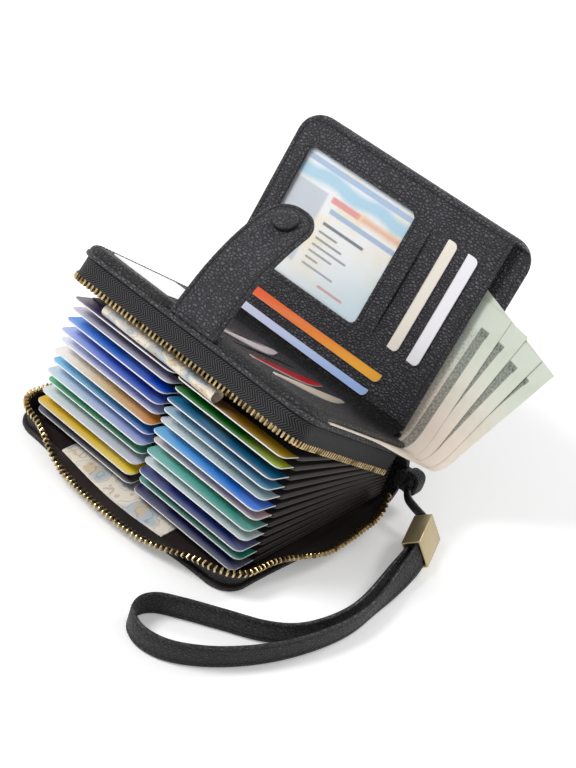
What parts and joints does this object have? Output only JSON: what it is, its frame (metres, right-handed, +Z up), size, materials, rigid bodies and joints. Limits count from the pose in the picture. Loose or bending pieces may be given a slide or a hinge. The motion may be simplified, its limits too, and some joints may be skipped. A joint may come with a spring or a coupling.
{
  "type": "wristlet card wallet",
  "caption": "Bifold wallet with a zip-round card case fanned open, an ID window flap, a snap strap and a wrist strap on a metal sleeve; it carries cards and folded notes.",
  "frame": {"origin": "middle of the base panel's underside, on the surface that the wallet lies on", "axes": "+Z up, +X along the spine towards the wrist strap's end, -Y out of the zip mouth"},
  "size_m": [0.1628, 0.1913, 0.1175],
  "materials": {
    "leather": "black pebbled leather",
    "lining": "dark brown lining cloth",
    "tape": "black herringbone zip tape",
    "brass": "antique brass",
    "paper": "plain pale green paper",
    "clear": "clear sheet",
    "id_card": "plain pale blue card",
    "card_left_01": "gloss card",
    "card_right_01": "gloss card",
    "card_left_02": "gloss card",
    "card_right_02": "gloss card",
    "card_left_03": "gloss card",
    "card_right_03": "gloss card",
    "card_left_04": "gloss card",
    "card_right_04": "gloss card",
    "card_left_05": "gloss card",
    "card_right_05": "gloss card",
    "card_left_06": "gloss card",
    "card_right_06": "gloss card",
    "card_left_07": "gloss card",
    "card_right_07": "gloss card",
    "card_left_08": "gloss card",
    "card_right_08": "gloss card",
    "card_left_09": "gloss card",
    "card_right_09": "gloss card",
    "card_left_10": "gloss card",
    "card_right_10": "gloss card",
    "card_left_11": "gloss card",
    "card_right_11": "gloss card",
    "card_left_12": "gloss card",
    "card_right_12": "gloss card"
  },
  "bodies": {
    "base": {"base_panel": "leather", "spine_cover": "leather", "lower_zip_tape": "tape", "lower_zip_teeth": "brass", "wrist_tab": "leather", "wrist_neck": "leather", "wrist_sleeve": "brass", "wrist_band": "leather"},
    "lid": {"lid_panel": "leather", "upper_zip_tape": "tape", "upper_zip_teeth": "brass", "lid_slot_panel": "leather", "lid_notes": "paper", "strap_foot": "leather"},
    "flap": {"flap_panel": "leather", "flap_cover": "leather", "id_window": "clear", "id_card": "id_card", "flap_notes": "paper", "snap_stud": "brass"},
    "strap": {"closure_strap": "leather", "snap_cap": "leather"},
    "slider": {"zip_slider": "brass"},
    "pull": {"zip_pull": "brass"},
    "row_01": {"leaf_01": "lining", "card_left_01": "card_left_01", "card_right_01": "card_right_01"},
    "row_02": {"leaf_02": "lining", "card_left_02": "card_left_02", "card_right_02": "card_right_02"},
    "row_03": {"leaf_03": "lining", "card_left_03": "card_left_03", "card_right_03": "card_right_03"},
    "row_04": {"leaf_04": "lining", "card_left_04": "card_left_04", "card_right_04": "card_right_04"},
    "row_05": {"leaf_05": "lining", "card_left_05": "card_left_05", "card_right_05": "card_right_05"},
    "row_06": {"leaf_06": "lining", "card_left_06": "card_left_06", "card_right_06": "card_right_06"},
    "row_07": {"leaf_07": "lining", "card_left_07": "card_left_07", "card_right_07": "card_right_07"},
    "row_08": {"leaf_08": "lining", "card_left_08": "card_left_08", "card_right_08": "card_right_08"},
    "row_09": {"leaf_09": "lining", "card_left_09": "card_left_09", "card_right_09": "card_right_09"},
    "row_10": {"leaf_10": "lining", "card_left_10": "card_left_10", "card_right_10": "card_right_10"},
    "row_11": {"leaf_11": "lining", "card_left_11": "card_left_11", "card_right_11": "card_right_11"},
    "row_12": {"leaf_12": "lining", "card_left_12": "card_left_12", "card_right_12": "card_right_12"}
  },
  "joints": [
    {"name": "lid_fold", "type": "hinge", "parent": "base", "child": "lid", "pos_m": [0, 0.051, 0.02517], "axis": [-1, 0, 0], "range_deg": [-32, 20]},
    {"name": "flap_fold", "type": "hinge", "parent": "lid", "child": "flap", "pos_m": [0, 0.05524, 0.02818], "axis": [-1, 0, 0], "range_deg": [-79.5, 50]},
    {"name": "strap_fold", "type": "hinge", "parent": "lid", "child": "strap", "pos_m": [0, -0.02577, 0.09015], "axis": [1, 0, 0], "range_deg": [-64, 70]},
    {"name": "slider_run", "type": "slide", "parent": "base", "child": "slider", "axis": [0, -1, 0], "range_m": [0, 0.04]},
    {"name": "pull_swing", "type": "hinge", "parent": "slider", "child": "pull", "pos_m": [-0.0611, 0.032, 0.01261], "axis": [0, 0, -1], "range_deg": [0, 170]},
    {"name": "row_01_fold", "type": "hinge", "parent": "base", "child": "row_01", "pos_m": [0, 0.0506, 0.0028], "axis": [-1, 0, 0], "range_deg": [-2.05, 1.36]},
    {"name": "row_02_fold", "type": "hinge", "parent": "base", "child": "row_02", "pos_m": [0, 0.0506, 0.00456], "axis": [-1, 0, 0], "range_deg": [-3.9, 2.51]},
    {"name": "row_03_fold", "type": "hinge", "parent": "base", "child": "row_03", "pos_m": [0, 0.0506, 0.00632], "axis": [-1, 0, 0], "range_deg": [-5.75, 3.67]},
    {"name": "row_04_fold", "type": "hinge", "parent": "base", "child": "row_04", "pos_m": [0, 0.0506, 0.00808], "axis": [-1, 0, 0], "range_deg": [-7.6, 4.83]},
    {"name": "row_05_fold", "type": "hinge", "parent": "base", "child": "row_05", "pos_m": [0, 0.0506, 0.00984], "axis": [-1, 0, 0], "range_deg": [-9.45, 5.98]},
    {"name": "row_06_fold", "type": "hinge", "parent": "base", "child": "row_06", "pos_m": [0, 0.0506, 0.0116], "axis": [-1, 0, 0], "range_deg": [-11.3, 7.14]},
    {"name": "row_07_fold", "type": "hinge", "parent": "base", "child": "row_07", "pos_m": [0, 0.0506, 0.01336], "axis": [-1, 0, 0], "range_deg": [-13.15, 8.3]},
    {"name": "row_08_fold", "type": "hinge", "parent": "base", "child": "row_08", "pos_m": [0, 0.0506, 0.01512], "axis": [-1, 0, 0], "range_deg": [-15.01, 9.45]},
    {"name": "row_09_fold", "type": "hinge", "parent": "base", "child": "row_09", "pos_m": [0, 0.0506, 0.01688], "axis": [-1, 0, 0], "range_deg": [-16.86, 10.61]},
    {"name": "row_10_fold", "type": "hinge", "parent": "base", "child": "row_10", "pos_m": [0, 0.0506, 0.01864], "axis": [-1, 0, 0], "range_deg": [-18.71, 11.77]},
    {"name": "row_11_fold", "type": "hinge", "parent": "base", "child": "row_11", "pos_m": [0, 0.0506, 0.0204], "axis": [-1, 0, 0], "range_deg": [-20.56, 12.92]},
    {"name": "row_12_fold", "type": "hinge", "parent": "base", "child": "row_12", "pos_m": [0, 0.0506, 0.02216], "axis": [-1, 0, 0], "range_deg": [-22.41, 14.08]}
  ],
  "couplings": [
    {"joint": "row_01_fold", "follows": "lid_fold", "ratio": 0.05783},
    {"joint": "row_02_fold", "follows": "lid_fold", "ratio": 0.11567},
    {"joint": "row_03_fold", "follows": "lid_fold", "ratio": 0.1735},
    {"joint": "row_04_fold", "follows": "lid_fold", "ratio": 0.23133},
    {"joint": "row_05_fold", "follows": "lid_fold", "ratio": 0.28917},
    {"joint": "row_06_fold", "follows": "lid_fold", "ratio": 0.347},
    {"joint": "row_07_fold", "follows": "lid_fold", "ratio": 0.40483},
    {"joint": "row_08_fold", "follows": "lid_fold", "ratio": 0.46267},
    {"joint": "row_09_fold", "follows": "lid_fold", "ratio": 0.5205},
    {"joint": "row_10_fold", "follows": "lid_fold", "ratio": 0.57833},
    {"joint": "row_11_fold", "follows": "lid_fold", "ratio": 0.63617},
    {"joint": "row_12_fold", "follows": "lid_fold", "ratio": 0.694}
  ]
}
